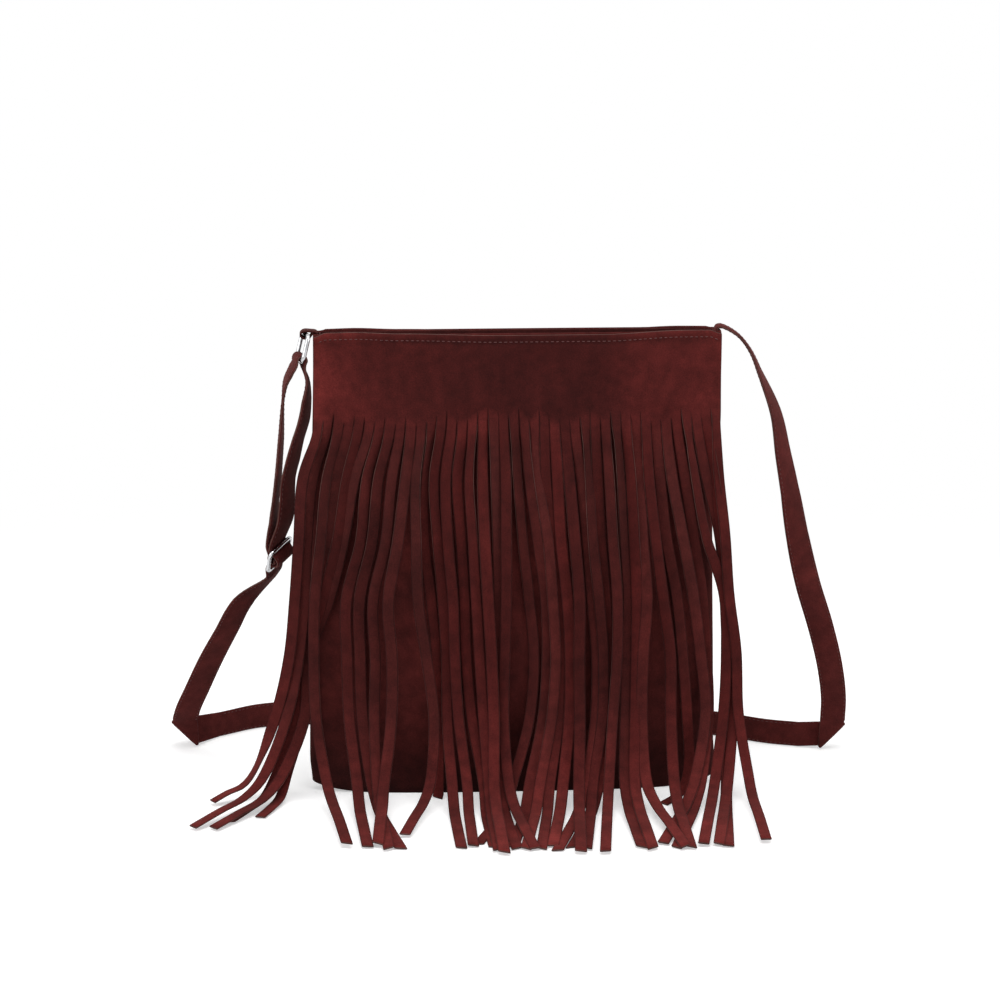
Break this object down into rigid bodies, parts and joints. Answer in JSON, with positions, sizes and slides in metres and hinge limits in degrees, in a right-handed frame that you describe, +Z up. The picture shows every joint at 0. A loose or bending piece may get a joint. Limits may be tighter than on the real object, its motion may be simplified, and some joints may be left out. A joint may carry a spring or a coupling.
{
  "type": "fringed suede shoulder bag",
  "caption": "Flat suede shoulder bag standing on its base, with long fringe over the whole front, an open mouth and an adjustable strap trailing on the floor.",
  "frame": {"origin": "middle of the flat base of the bag, on the floor", "axes": "+X to the right of the bag as seen from its fringed front, +Y to its back, +Z up"},
  "size_m": [0.4322, 0.2733, 0.286],
  "materials": {
    "suede": "dark red napped suede",
    "lining": "near black woven lining",
    "metal": "polished"
  },
  "bodies": {
    "bag": {"body_shell": "suede", "fringe_panel": "suede", "mouth_facing": "suede", "lining": "lining", "slip_pocket": "lining", "snap_stud": "metal", "snap_socket": "metal", "ring_tab": "suede", "strap_slider": "metal", "shoulder_strap": "suede"},
    "ring": {"strap_ring": "metal"}
  },
  "joints": [
    {"name": "ring_swing", "type": "hinge", "parent": "bag", "child": "ring", "pos_m": [-0.1262, 0, 0.2825], "axis": [-0.1736, 0.9848, 0], "range_deg": [-8, 70], "deforming": ["shoulder_strap"]}
  ]
}
